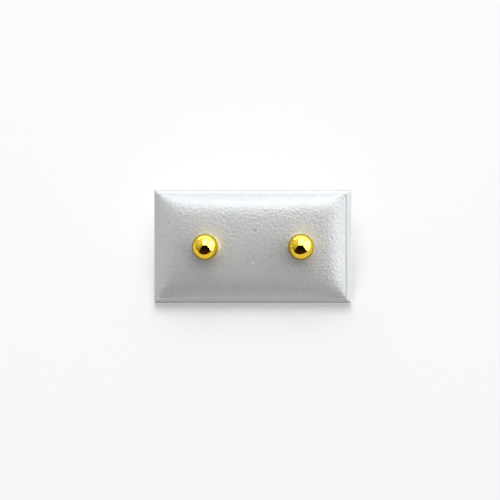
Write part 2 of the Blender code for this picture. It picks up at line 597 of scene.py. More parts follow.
@dataclass(frozen=True)
class LeatheretteFinish:
    """Silver-white coated cloth with a satin, lightly pearly face and a fine pebble."""

    face: Colour = (0.578, 0.592, 0.602)
    # Darker tone, painted as shade into the pebble's valleys and also used for the cloudy mottle.
    crease: Colour = (0.50, 0.505, 0.51)
    soil: Colour = (0.30, 0.29, 0.27)
    # Dark cut-edge colour, which along the lower edge and the bottom border is painted shade.
    edge: Colour = (0.20, 0.18, 0.16)
    valley_shade_share: float = 0.55
    cloud_share: float = 0.10
    speck_share: float = 0.35
    mark_share: float = 0.8
    cloud_size: float = 0.0045
    speck_size: float = 0.0011
    speck_chance: float = 0.012
    roughness: float = 0.37
    micro_roughness: float = 0.16
    cloud_roughness: float = 0.06
    cut_roughness: float = 0.4
    metallic: float = 0.4
    coat: float = 0.18
    coat_roughness: float = 0.25
    micro_size: float = 0.00022
    micro_relief: float = 0.000012

    def build(self, effects: SharedEffects) -> bpy.types.Material:
        """Wire the material.

        Args:
            effects: The shared shader groups.

        Returns:
            The material, which reads the attributes grain, mark and cut_edge_and_shade.
        """
        wiring, shader, material = new_surface("leatherette")
        mottle = wiring.mottle(effects, self)
        # The cut-edge mask: the cover's dark cut edge all round, and painted shade along the lower edge and
        # the bottom border.
        cut = wiring.attribute("cut_edge_and_shade")
        micro = wiring.noise(wiring.place(), 1.0 / self.micro_size, 2.0)
        cloud = wiring.ramp(mottle["Cloud"], 0.3, 0.7)
        # Painted shade: the pebble's valleys are darkened towards the crease tone.
        low = wiring.ramp(wiring.attribute("grain"), 0.35, 0.0)
        tone = wiring.tinted(self.face, low, self.valley_shade_share, self.crease)
        tone = wiring.tinted(tone, cloud, self.cloud_share, self.crease)
        tone = wiring.tinted(tone, mottle["Specks"], self.speck_share, self.soil)
        # Marks darken towards the soil tone: partly soil, partly painted shade in pricks, dents and gaps at
        # the cut edge.
        tone = wiring.tinted(tone, wiring.attribute("mark"), self.mark_share, self.soil)
        least_rough = self.roughness - self.micro_roughness / 2
        rough = wiring.sum("MULTIPLY_ADD", micro, self.micro_roughness, least_rough)
        rough = wiring.sum("MULTIPLY_ADD", cloud, self.cloud_roughness, rough)
        looks = {
            "Base Color": wiring.mixed(cut, tone, self.edge),
            "Roughness": wiring.sum("MULTIPLY_ADD", cut, self.cut_roughness, rough),
            "Normal": wiring.bump(micro, self.micro_relief, 0.5),
            "IOR": 1.5,
            "Metallic": self.metallic,
            "Coat Weight": self.coat,
            "Coat Roughness": self.coat_roughness,
        }
        wiring.fill(shader, looks)
        return material


@dataclass(frozen=True)
class PaperboardFinish:
    """White matt paperboard with a dry, faintly layered cut edge."""

    face: Colour = (0.93, 0.92, 0.90)
    fibre: Colour = (0.78, 0.76, 0.72)
    soil: Colour = (0.45, 0.41, 0.34)
    cloud_share: float = 0.12
    speck_share: float = 0.5
    cloud_size: float = 0.006
    speck_size: float = 0.0009
    speck_chance: float = 0.03
    roughness: float = 0.82
    fibre_roughness: float = 0.12
    fibre_size: float = 0.00018
    fibre_relief: float = 0.00002
    fibre_stretch: tuple[float, float, float] = (0.35, 1.0, 3.0)

    def build(self, effects: SharedEffects) -> bpy.types.Material:
        """Wire the material.

        Args:
            effects: The shared shader groups.

        Returns:
            The material, which reads the attribute card_place.
        """
        wiring, shader, material = new_surface("white_board")
        mapping = {"Vector": wiring.attribute("card_place", "Vector"), "Scale": self.fibre_stretch}
        stretched = wiring.add("ShaderNodeMapping", mapping).outputs[0]
        fibres = wiring.noise(stretched, 1.0 / self.fibre_size, 4.0, 0.65)
        mottle = wiring.mottle(effects, self)
        tone = wiring.mixed(wiring.ramp(fibres, 0.45, 0.75), self.face, self.fibre)
        tone = wiring.tinted(tone, mottle["Cloud"], self.cloud_share, self.soil)
        least_rough = self.roughness - self.fibre_roughness / 2
        looks = {
            "Base Color": wiring.tinted(tone, mottle["Specks"], self.speck_share, self.soil),
            "Roughness": wiring.sum("MULTIPLY_ADD", fibres, self.fibre_roughness, least_rough),
            "Normal": wiring.bump(fibres, self.fibre_relief, 0.7),
        }
        wiring.fill(shader, looks)
        return material


@dataclass(frozen=True)
class GoldFinish:
    """Yellow gold colour on metal, from mirror polish to a pressed shine."""

    name: str
    face: Colour
    shade: Colour
    roughness: float
    smear: float
    scratch_depth: float
    rim: Colour = (0.50, 0.48, 0.42)
    shade_share: float = 0.35
    scratch_size: float = 0.00025
    smear_size: float = 0.0014

    def build(self, effects: SharedEffects) -> bpy.types.Material:
        """Wire the material.

        Args:
            effects: The shared shader groups.

        Returns:
            The material.
        """
        wiring, shader, material = new_surface(self.name)
        sizes = {"Scratch Size": self.scratch_size, "Smear Size": self.smear_size}
        scuffs = wiring.add("ShaderNodeGroup", sizes, node_tree=effects.scuffs).outputs
        rough = wiring.sum("MULTIPLY_ADD", scuffs["Smear"], self.smear, self.roughness)
        looks = {
            "Base Color": wiring.tinted(self.face, scuffs["Smear"], self.shade_share, self.shade),
            "Roughness": wiring.sum("MULTIPLY_ADD", scuffs["Scratch"], self.smear, rough),
            "Normal": wiring.bump(scuffs["Scratch"], self.scratch_depth, 0.25, invert=True),
            "Metallic": 1.0,
            "Specular Tint": self.rim,
        }
        wiring.fill(shader, looks)
        return material


@dataclass(frozen=True)
class CrumbFinish:
    """The dark, dry backing of the cover where its cut edge frays."""

    tone: Colour = (0.22, 0.20, 0.18)
    pale: Colour = (0.5, 0.48, 0.45)
    cloud_size: float = 0.0004
    roughness: float = 0.9

    def build(self, effects: SharedEffects) -> bpy.types.Material:
        """Wire the material.

        Args:
            effects: The shared shader groups.

        Returns:
            The material.
        """
        wiring, shader, material = new_surface("frayed_backing")
        sizes = {"Cloud Size": self.cloud_size}
        mottle = wiring.add("ShaderNodeGroup", sizes, node_tree=effects.mottle).outputs
        tone = wiring.mixed(mottle["Cloud"], self.tone, self.pale)
        wiring.fill(shader, {"Base Color": tone, "Roughness": self.roughness})
        return material


# The puffed front


def on_card(pixel: tuple[float, float], height: float) -> np.ndarray:
    """Turn a pixel of the photograph into a point of the card's front.

    Args:
        pixel: Across and down in the photograph.
        height: The card's height.

    Returns:
        The point along and up the card.
    """
    along = (pixel[0] - PHOTO_CARD_MIDDLE[0]) * PHOTO_SCALE
    up = height / 2 - (pixel[1] - PHOTO_CARD_MIDDLE[1]) * PHOTO_SCALE
    return np.array((along, up))


@dataclass(frozen=True)
class Mark:
    """A prick, dent or crease in the puffed front, placed where the photograph shows it."""

    start: tuple[float, float]
    end: tuple[float, float]
    width: float
    depth: float
    # How far the mark darkens the face: partly soil, partly painted shade in pricks, dents and gaps at the
    # cut edge.
    soil: float = 0.0

    def falloff(self, across: np.ndarray, up: np.ndarray, height: float) -> np.ndarray:
        """How strongly the mark acts at each point, from 0 to 1.

        Args:
            across: The points' places along the card.
            up: The points' places up the card.
            height: The card's height.

        Returns:
            The strength at each point.
        """
        first = on_card(self.start, height)
        run = on_card(self.end, height) - first
        length = max(float(run @ run), 1e-12)
        share = np.clip(((across - first[0]) * run[0] + (up - first[1]) * run[1]) / length, 0.0, 1.0)
        away = np.hypot(across - first[0] - share * run[0], up - first[1] - share * run[1])
        return np.exp(-((away / self.width) ** 2))


CLOTH_FRAMES = 20
CLOTH_SETTINGS = {
    "quality": 6,
    "mass": 0.3,
    "tension_stiffness": 14,
    "compression_stiffness": 10,
    "shear_stiffness": 4,
    "bending_stiffness": 2.0,
    "air_damping": 2.0,
    "use_pressure": True,
    "uniform_pressure_force": 4,
    "shrink_min": 0.0,
    "vertex_group_mass": "held",
}
MARKS = (
    Mark((254.7, 229.9), (254.8, 230.2), 0.00018, 0.00007, 1.2),
    Mark((244.0, 231.2), (252.5, 230.6), 0.00014, 0.000018),
    Mark((252.4, 257.8), (252.7, 261.4), 0.00016, 0.00009, 0.25),
    Mark((250.2, 286.0), (252.4, 286.4), 0.00020, 0.00004),
    Mark((168.0, 223.0), (168.3, 223.2), 0.00014, 0.00005, 0.6),
    Mark((152.6, 228.4), (155.2, 228.4), 0.00016, 0.00020, 0.5),
    Mark((230.0, 236.5), (238.0, 237.8), 0.00016, 0.00003),
    Mark((316.0, 238.0), (323.0, 231.0), 0.00018, 0.00002),
    Mark((306.0, 229.0), (309.0, 219.0), 0.00018, 0.00002),
    Mark((350.4, 190.0), (350.5, 190.1), 0.00012, 0.00003, 0.9),
    Mark((350.9, 193.0), (350.9, 198.0), 0.00007, 0.00001, 0.35),
    Mark((350.9, 213.0), (350.9, 217.0), 0.00007, 0.00001, 0.45),
    Mark((350.9, 228.0), (350.9, 233.0), 0.00008, 0.00001, 0.5),
    Mark((350.9, 260.0), (350.9, 264.0), 0.00007, 0.00001, 0.35),
    Mark((276.0, 189.6), (279.5, 189.6), 0.00008, 0.00001, 0.5),
    Mark((235.5, 189.6), (237.0, 189.6), 0.00007, 0.00001, 0.35),
    Mark((216.0, 189.6), (222.0, 189.6), 0.00007, 0.00001, 0.35),
)


@dataclass
class PuffPad:
    """The foam-filled leatherette front: a pressed border, soft shoulders and a low crown."""

    space: CardSpace
    lower_margin: float = 0.00022
    corner: float = 0.0003
    border_left: float = 0.00076
    border_right: float = 0.00112
    border_top: float = 0.00092
    border_bottom: float = 0.00090
    edge_rise: float = 0.00074
    edge_drop: float = 0.00009
    border_rise: float = 0.00116
    border_round: float = 1.25
    bevel: float = 0.00068
    bevel_top: float = 0.00086
    bevel_right: float = 0.00099
    groove_depth: float = 0.000026
    groove_width: float = 0.00016
    groove_ease: float = 0.75
    crown_rise: float = 0.00310
    wall_share: float = 0.02
    wall_reach: float = 0.00008
    shoulder_share: float = 0.74
    side_reach: float = 0.0026
    low_reach: float = 0.0024
    high_reach: float = 0.0018
    shoulder_fade: float = 3.2
    shoulder_end: float = 12.0
    shoulder_steps: int = 1200
    corner_lift: float = 0.45
    corner_blend: float = 0.0010
    seat_clearance: float = 0.00002
    seat_blend: float = 0.0003
    seat_cover: float = 0.97
    hole_radius: float = 0.00066
    hole_cells: int = 5
    fine_step: float = 0.000145
    edge_step: float = 0.00008
    edge_band: float = 0.0015
    board_gap: float = 0.00019
    base_lift: float = 0.00001
    edge_round: float = 0.00006
    # Painted shade along the lower cut edge and the bottom border: a thin dark line and a faint wider
    # spread.
    lower_edge_shade: float = 0.00014
    lower_edge_shade_reach: float = 0.0005
    lower_edge_shade_share: float = 0.8
    side_soil: float = 0.00004
    side_soil_share: float = 0.3
    grain_start: float = 0.0008
    grain_on_border: float = 0.25
    grain_edge: float = 0.0003
    grain_low: float = 1.42
    grain_crown: float = 0.76
    grain_right: float = 0.26
    sharp_degrees: float = 50.0
    sheet_columns: int = 76
    sheet_rows: int = 44
    sheet_scale: float = 20.0
    sheet_cap: float = 0.14
    sheet_evening: int = 14
    grain_size: float = 0.00060
    grain_relief: float = 0.000044
    waviness: float = 0.35
    drift_scale: float = 0.7
    drift_reach: float = 3.0
    pebble_slope: float = 0.32
    pebble_share: float = 0.65
    wrinkle_scale: float = 1.3
    extent: Extent = field(init=False)
    board: Extent = field(init=False)
    studs: dict[Side, Extent] = field(init=False)

    def __post_init__(self) -> None:
        """Measure the solids that the front fits between."""
        self.extent = self.space.box("puff_pad")
        self.board = self.space.box("backing_board")
        self.studs = {side: self.space.box(f"ear_stud_{side.label}") for side in Side}

    @property
    def base(self) -> float:
        """The height of the flat underside."""
        return self.extent.low.z - self.board_gap + self.base_lift

    def stations(self, low: float, high: float, seats: Sequence[float]) -> np.ndarray:
        """Grid lines from edge to edge, close together at the edges, with one on each seat.

        Args:
            low: The first edge.
            high: The second edge.
            seats: Places that a grid line passes through.

        Returns:
            The grid lines.
        """
        edge_count = round(self.edge_band / self.edge_step)
        first = np.linspace(low, low + self.edge_band, edge_count, endpoint=False)
        last = np.linspace(high, high - self.edge_band, edge_count, endpoint=False)[::-1]
        stops = [low + self.edge_band, *seats, high - self.edge_band]
        middle = [
            np.linspace(start, stop, round((stop - start) / self.fine_step), endpoint=False)
            for start, stop in zip(stops, stops[1:])
        ]
        return np.concatenate([first, *middle, [stops[-1]], last])

    def inflate(self, width: float, height: float) -> np.ndarray:
        """Fill a cover sheet with pressure, held round the groove.

        Args:
            width: The sheet's width between the grooves.
            height: The sheet's height between the grooves.

        Returns:
            How far each point of the sheet rose, as a share of the most.
        """
        columns, rows = self.sheet_columns, self.sheet_rows
        across = np.linspace(-width / 2, width / 2, columns + 1)
        upward = np.linspace(-height / 2, height / 2, rows + 1)
        grid_x, grid_y = np.meshgrid(across, upward)
        flat = np.stack([grid_x, grid_y, np.zeros_like(grid_x)], axis=-1)
        points = flat.reshape(-1, 3) * self.sheet_scale
        sheet_mesh = bpy.data.meshes.new("cover_sheet")
        sheet_mesh.from_pydata(points.tolist(), [], grid_faces(rows, columns))
        sheet = linked("cover_sheet", sheet_mesh)
        held = sheet.vertex_groups.new(name="held")
        rim = (np.abs(grid_x) > width / 2 - 1e-6) | (np.abs(grid_y) > height / 2 - 1e-6)
        held.add([int(index) for index in np.flatnonzero(rim)], 1.0, "REPLACE")
        cloth = sheet.modifiers.new("filling", "CLOTH")
        for name, value in CLOTH_SETTINGS.items():
            setattr(cloth.settings, name, value)
        cloth.settings.effector_weights.gravity = 0
        cloth.collision_settings.use_collision = False
        cloth.point_cache.frame_start = 1
        cloth.point_cache.frame_end = CLOTH_FRAMES
        for frame_number in range(1, CLOTH_FRAMES + 1):
            bpy.context.scene.frame_set(frame_number)
        settled = flattened(sheet)
        bpy.context.scene.frame_set(1)
        heights = np.empty(len(settled.vertices) * 3)
        settled.vertices.foreach_get("co", heights)
        bpy.data.meshes.remove(settled)
        risen = np.minimum(heights.reshape(rows + 1, columns + 1, 3)[:, :, 2], self.sheet_cap)
        for _ in range(self.sheet_evening):
            risen[1:-1] = (risen[:-2] + 2 * risen[1:-1] + risen[2:]) / 4
            risen[:, 1:-1] = (risen[:, :-2] + 2 * risen[:, 1:-1] + risen[:, 2:]) / 4
        log.info("cover sheet rose %.1f mm at twenty times its size", risen.max() * 1000)
        return risen / max(float(risen.max()), 1e-9)

    def surface(self, across: np.ndarray, up: np.ndarray) -> dict[str, np.ndarray]:
        """Heights and masks of the front's face.

        Args:
            across: The grid's places along the card.
            up: The grid's places up the card.

        Returns:
            The arrays height, grain_mask, mark and cut_edge_and_shade.
        """
        left, right = self.extent.low.x, self.extent.high.x
        bottom, top = self.extent.low.y + self.lower_margin, self.extent.high.y
        to_side = np.minimum(across - left - self.border_left, right - self.border_right - across)
        to_low = up - bottom - self.border_bottom
        to_high = top - self.border_top - up
        to_end = np.minimum(to_low, to_high)
        blend = np.maximum(self.corner_blend - np.abs(to_side - to_end), 0) / self.corner_blend
        inside = np.minimum(to_side, to_end) - blend**2 * self.corner_blend / 4
        near_edge = np.minimum(across - left, up - bottom)
        edge = np.minimum(near_edge, np.minimum(right - across, top - up))
        far_slope = np.minimum((right - across) / self.bevel_right, (top - up) / self.bevel_top)
        slope = np.clip(np.minimum(near_edge / self.bevel, far_slope), 0, 1)

        width = right - left - self.border_left - self.border_right
        height = top - bottom - self.border_bottom - self.border_top
        risen = self.inflate(width, height)
        middle_x = (left + self.border_left + right - self.border_right) / 2
        middle_y = (bottom + self.border_bottom + top - self.border_top) / 2
        column = np.clip((across - middle_x) / width + 0.5, 0, 1) * self.sheet_columns
        row = np.clip((up - middle_y) / height + 0.5, 0, 1) * self.sheet_rows
        dome = self.sampled(risen, row, column)

        base = self.extent.low.z
        wall = 1 - np.exp(-np.clip(inside, 0, None) / self.wall_reach)
        well_x = np.clip(to_side / self.side_reach, 1e-6, None)
        well_y = np.clip(np.minimum(to_low / self.low_reach, to_high / self.high_reach), 1e-6, None)
        shoulder = self.shoulder(well_x) * self.shoulder(well_y)
        rounded = self.shoulder(well_x * well_y / np.hypot(well_x, well_y))
        shoulder = shoulder + (rounded - shoulder) * self.corner_lift
        foam = self.wall_share * wall + self.shoulder_share * shoulder
        foam = foam + (1 - self.wall_share - self.shoulder_share) * dome
        pillow = base + self.border_rise + (self.crown_rise - self.border_rise) * foam
        climb = 1 - (1 - slope) ** self.border_round
        border = base + self.edge_rise + (self.border_rise - self.edge_rise) * climb
        face = np.where(inside > 0, pillow, border)
        # Painted shade: along the bottom the cut edge and border darken in a thin line and a faint wider
        # spread; the other sides get only a faint dark cut-edge line.
        line = self.lower_edge_shade_share * np.exp(-edge / self.lower_edge_shade)
        spread = (1 - self.lower_edge_shade_share) * np.exp(-edge / self.lower_edge_shade_reach)
        beside = self.side_soil_share * np.exp(-edge / self.side_soil)
        cut = np.where(edge == up - bottom, line + spread, beside)
        face = face - self.edge_drop * np.exp(-edge / self.edge_round)
        pressed = self.groove_depth * (1 - self.groove_ease * np.clip(across / right, 0, 1) ** 3)
        face = face - pressed * np.exp(-((inside / self.groove_width) ** 2))

        for stud in self.studs.values():
            radius = stud.radius
            away = np.hypot(across - stud.middle.x, up - stud.middle.y)
            centre = stud.high.z - radius
            ball = centre - np.sqrt(np.clip(radius**2 - away**2, 0, None)) - self.seat_clearance
            ball = np.where(away > radius * self.seat_cover, 1.0, ball)
            near = np.maximum(self.seat_blend - np.abs(face - ball), 0) / self.seat_blend
            face = np.minimum(face, ball) - near**2 * self.seat_blend / 4

        # Darkening of the marks: partly soil, partly painted shade in pricks, dents and gaps at the cut
        # edge.
        mark_soil_and_shade = np.zeros_like(face)
        for mark in MARKS:
            strength = mark.falloff(across, up, self.board.high.y)
            face = face - mark.depth * strength
            mark_soil_and_shade = np.maximum(mark_soil_and_shade, mark.soil * strength)
        within = np.clip(inside / self.grain_start, 0, 1)
        mask = within * (1 - self.grain_on_border) + self.grain_on_border
        mask = mask * np.clip(edge / self.grain_edge, 0, 1)
        by_height = self.grain_low - (self.grain_low - self.grain_crown) * dome
        mask = mask * by_height * (1 + self.grain_right * across / right)
        return {"height": face, "grain_mask": mask, "mark": mark_soil_and_shade, "cut_edge_and_shade": cut}

    def shoulder(self, within: np.ndarray) -> np.ndarray:
        """How far the foam has risen inside the groove, with a slope that is steady at first.

        Args:
            within: The distances inside the groove, with 1 where the slope is down to half.

        Returns:
            The share of the full rise.
        """
        steps = np.linspace(0.0, self.shoulder_end, self.shoulder_steps + 1)
        slopes = 1 / (1 + steps**self.shoulder_fade)
        risen = np.concatenate([[0.0], np.cumsum((slopes[1:] + slopes[:-1]) / 2)])
        return np.interp(within, steps, risen / risen[-1])

    @staticmethod
    def sampled(field_values: np.ndarray, row: np.ndarray, column: np.ndarray) -> np.ndarray:
        """Read a coarse field between its points.

        Args:
            field_values: The coarse values, by row and column.
            row: Where to read, in rows.
            column: Where to read, in columns.

        Returns:
            The values there.
        """
        row_floor = np.clip(np.floor(row).astype(int), 0, field_values.shape[0] - 2)
        column_floor = np.clip(np.floor(column).astype(int), 0, field_values.shape[1] - 2)
        row_share = row - row_floor
        column_share = column - column_floor
        left = field_values[:, :-1]
        right = field_values[:, 1:]
        lower, upper = (
            left[at, column_floor] * (1 - column_share) + right[at, column_floor] * column_share
            for at in (row_floor, row_floor + 1)
        )
        return lower * (1 - row_share) + upper * row_share

    def rounded(self, across: np.ndarray, up: np.ndarray) -> tuple[np.ndarray, np.ndarray]:
        """Pull the grid's square corners onto the cover's rounded ones.

        Args:
            across: The grid's places along the card.
            up: The grid's places up the card.

        Returns:
            The moved places.
        """
        middle_x = (across.min() + across.max()) / 2
        middle_y = (up.min() + up.max()) / 2
        far_x = (across.max() - across.min()) / 2 - self.corner
        far_y = (up.max() - up.min()) / 2 - self.corner
        over_x = np.clip((np.abs(across - middle_x) - far_x) / self.corner, 0, 1)
        over_y = np.clip((np.abs(up - middle_y) - far_y) / self.corner, 0, 1)
        moved_x = over_x * np.sqrt(1 - over_y**2 / 2)
        moved_y = over_y * np.sqrt(1 - over_x**2 / 2)
        shift_x = (moved_x - over_x) * self.corner * np.sign(across - middle_x)
        shift_y = (moved_y - over_y) * self.corner * np.sign(up - middle_y)
        return across + shift_x, up + shift_y

    def grid(self) -> tuple[bpy.types.Mesh, dict[str, np.ndarray]]:
        """Build the closed body: face, cut edge, post holes and flat underside.

        Returns:
            The mesh in the card's axes, and its masks by vertex.
        """
        seats_x = sorted(stud.middle.x for stud in self.studs.values())
        seat_y = self.studs[Side.LEFT].middle.y
        columns = self.stations(self.extent.low.x, self.extent.high.x, seats_x)
        rows = self.stations(self.extent.low.y + self.lower_margin, self.extent.high.y, [seat_y])
        across, up = np.meshgrid(columns, rows)
        across, up = self.rounded(across, up)

        hole_faces = np.zeros((len(rows) - 1, len(columns) - 1), dtype=bool)
        loops = []
        row_at = int(np.argmin(np.abs(rows - seat_y)))
        for seat_x in seats_x:
            column_at = int(np.argmin(np.abs(columns - seat_x)))
            reach = self.hole_cells
            hole_faces[row_at - reach : row_at + reach, column_at - reach : column_at + reach] = True
            ring = [(row_at - reach, column_at + step) for step in range(-reach, reach)]
            ring += [(row_at + step, column_at + reach) for step in range(-reach, reach)]
            ring += [(row_at + reach, column_at - step) for step in range(-reach, reach)]
            ring += [(row_at - step, column_at - reach) for step in range(-reach, reach)]
            for row, column in ring:
                angle = math.atan2(up[row, column] - seat_y, across[row, column] - seat_x)
                across[row, column] = seat_x + self.hole_radius * math.cos(angle)
                up[row, column] = seat_y + self.hole_radius * math.sin(angle)
            loops.append([row * len(columns) + column for row, column in ring])
        values = self.surface(across, up)

        stride = len(columns)
        points = np.stack([across, up, values["height"]], axis=-1).reshape(-1, 3)
        masks = {name: values[name].reshape(-1) for name in ("grain_mask", "mark", "cut_edge_and_shade")}
        cells = zip(grid_faces(len(rows) - 1, stride - 1), hole_faces.reshape(-1))
        faces = [face for face, in_hole in cells if not in_hole]
        rim = list(range(stride - 1))
        rim += [row * stride + stride - 1 for row in range(len(rows) - 1)]
        rim += [(len(rows) - 1) * stride + column for column in range(stride - 1, 0, -1)]
        rim += [row * stride for row in range(len(rows) - 1, 0, -1)]
        shape = bmesh.new()
        verts = [shape.verts.new(point) for point in points]
        for face in faces:
            shape.faces.new([verts[index] for index in face])
        underside = []
        origin_of = list(range(len(verts)))
        for loop, share in ((rim, 1.0), *((hole, 0.0) for hole in loops)):
            lower = []
            for index in loop:
                point = Vector(points[index])
                point.z = self.base
                lower.append(shape.verts.new(point))
                origin_of.append(index)
            count = len(loop)
            for index in range(count):
                following = (index + 1) % count
                wall = (verts[loop[index]], lower[index], lower[following], verts[loop[following]])
                shape.faces.new(wall)
                underside.append(shape.edges.get((lower[index], lower[following])))
        bmesh.ops.triangle_fill(shape, edges=underside, use_beauty=False, use_dissolve=False)
        for name in masks:
            masks[name] = masks[name][origin_of]
        loose = [vert for vert in shape.verts if not vert.link_faces]
        kept = np.array([bool(vert.link_faces) for vert in shape.verts])
        bmesh.ops.delete(shape, geom=loose, context="VERTS")
        bmesh.ops.recalc_face_normals(shape, faces=shape.faces)
        open_edges = sum(1 for edge in shape.edges if len(edge.link_faces) != 2)
        log.info("puff_pad: %d open edges", open_edges)
        mesh = mesh_from("puff_pad_grid", shape)
        return mesh, {name: mask[kept] for name, mask in masks.items()}

    def grain_tree(self) -> bpy.types.NodeTree:
        """The geometry tree that presses the pebble into the cover.

        Returns:
            The tree, with inputs for the size and relief of the pebble.
        """
        numbers = {"Pebble Size": self.grain_size, "Relief": self.grain_relief, "Waviness": self.waviness}
        group = open_geometry("pressed_grain", numbers)
        wiring, start, _ = group
        place = wiring.add("GeometryNodeInputPosition").outputs[0]
        scale = wiring.sum("DIVIDE", 1.0, start.outputs["Pebble Size"])
        slow_scale = wiring.sum("MULTIPLY", scale, self.drift_scale)
        drift = wiring.add("ShaderNodeTexNoise", {"Vector": place, "Scale": slow_scale, "Detail": 1.0})
        centring = {0: drift.outputs["Color"], 1: (0.5, 0.5, 0.5)}
        centred = wiring.add("ShaderNodeVectorMath", centring, operation="SUBTRACT").outputs[0]
        reach = wiring.sum("MULTIPLY", start.outputs["Pebble Size"], start.outputs["Waviness"])
        shift = wiring.scaled(centred, wiring.sum("MULTIPLY", reach, self.drift_reach))
        warped = wiring.add("ShaderNodeVectorMath", {0: place, 1: shift}, operation="ADD").outputs[0]
        spots = {"Vector": warped, "Scale": scale}
        cells = wiring.add("ShaderNodeTexVoronoi", spots, feature="DISTANCE_TO_EDGE")
        domes = wiring.ramp(cells.outputs["Distance"], 0.0, self.pebble_slope)
        wrinkle = wiring.noise(warped, wiring.sum("MULTIPLY", scale, self.wrinkle_scale), 2.0)
        ridges = wiring.sum("MULTIPLY", wiring.ramp(wrinkle, 0.3, 0.7), 1 - self.pebble_share)
        height = wiring.sum("MULTIPLY_ADD", domes, self.pebble_share, ridges)
        masked = wiring.add("GeometryNodeInputNamedAttribute", {"Name": "grain_mask"}, data_type="FLOAT")
        lowered = wiring.sum("SUBTRACT", height, 0.5)
        relief = wiring.sum("MULTIPLY", lowered, start.outputs["Relief"])
        push = wiring.sum("MULTIPLY", relief, masked.outputs["Attribute"])
        offset = wiring.scaled(wiring.add("GeometryNodeInputNormal").outputs[0], push)
        record = {"Geometry": start.outputs["Geometry"], "Name": "grain", "Value": height}
        stored = wiring.add("GeometryNodeStoreNamedAttribute", record, data_type="FLOAT", domain="POINT")
        moved = wiring.add("GeometryNodeSetPosition", {"Geometry": stored.outputs[0], "Offset": offset})
        return close_geometry(group, moved.outputs[0])

    def build(self, material: bpy.types.Material) -> bpy.types.Object:
        """Build the puffed front and put it in place of its solid.

        Args:
            material: The leatherette.

        Returns:
            The piece.
        """
        body, masks = self.grid()
        for name, mask in masks.items():
            store(body, name, mask)
        mesh = grown("puff_pad_cover", body, self.grain_tree(), {"Material": material})
        smooth(mesh, self.sharp_degrees)
        piece = self.space.place("puff_pad_cover", mesh, material)
        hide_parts("puff_pad")
        return piece


# The board


@dataclass
class BackingBoard:
    """The stiff white board with its two post holes and softened edges."""

    space: CardSpace
    corner: float = 0.0003
    corner_steps: int = 6
    hole_radius: float = 0.0006
    hole_sides: int = 32
    edge_softness: float = 0.00006
    sharp_degrees: float = 30.0

    def outline(self, extent: Extent) -> list[tuple[float, float]]:
        """The board's rounded outline, anticlockwise.

        Args:
            extent: The board's box.

        Returns:
            The outline's points.
        """
        points = []
        corners = ((1, 1, 0), (-1, 1, 90), (-1, -1, 180), (1, -1, 270))
        half_x = (extent.high.x - extent.low.x) / 2 - self.corner
        half_y = (extent.high.y - extent.low.y) / 2 - self.corner
        for side_x, side_y, start in corners:
            for step in range(self.corner_steps + 1):
                angle = math.radians(start + 90 * step / self.corner_steps)
                x = extent.middle.x + side_x * half_x + self.corner * math.cos(angle)
                y = extent.middle.y + side_y * half_y + self.corner * math.sin(angle)
                points.append((x, y))
        return points

    def build(self, material: bpy.types.Material) -> bpy.types.Object:
        """Build the board and put it in place of its solid.

        Args:
            material: The paperboard.

        Returns:
            The piece.
        """
        extent = self.space.box("backing_board")
        outlines = [self.outline(extent)]
        for side in Side:
            middle = self.space.box(f"ear_stud_{side.label}").middle
            outlines.append(circle(middle, self.hole_radius, self.hole_sides))
        shape = bmesh.new()
        flats: dict[float, list[bmesh.types.BMEdge]] = {extent.low.z: [], extent.high.z: []}
        for outline in outlines:
            rings = [[shape.verts.new((x, y, level)) for x, y in outline] for level in flats]
            back, front = rings
            count = len(outline)
            for index in range(count):
                following = (index + 1) % count
                shape.faces.new((back[index], back[following], front[following], front[index]))
                for ring, edges in zip(rings, flats.values()):
                    edges.append(shape.edges.get((ring[index], ring[following])))
        for edges in flats.values():
            bmesh.ops.triangle_fill(shape, edges=edges, use_beauty=True, use_dissolve=False)
        bmesh.ops.recalc_face_normals(shape, faces=shape.faces)
        carrier = linked("board", mesh_from("board", shape))
        soften(carrier, "soft edges", self.edge_softness, 2)
        board = flattened(carrier)
        places = np.empty(len(board.vertices) * 3, dtype=np.float32)
        board.vertices.foreach_get("co", places)
        card_place = board.attributes.new("card_place", "FLOAT_VECTOR", "POINT")
        card_place.data.foreach_set("vector", places)
        smooth(board, self.sharp_degrees)
        piece = self.space.place("card_board", board, material)
        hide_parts("backing_board")
        return piece


# The frayed cut edge


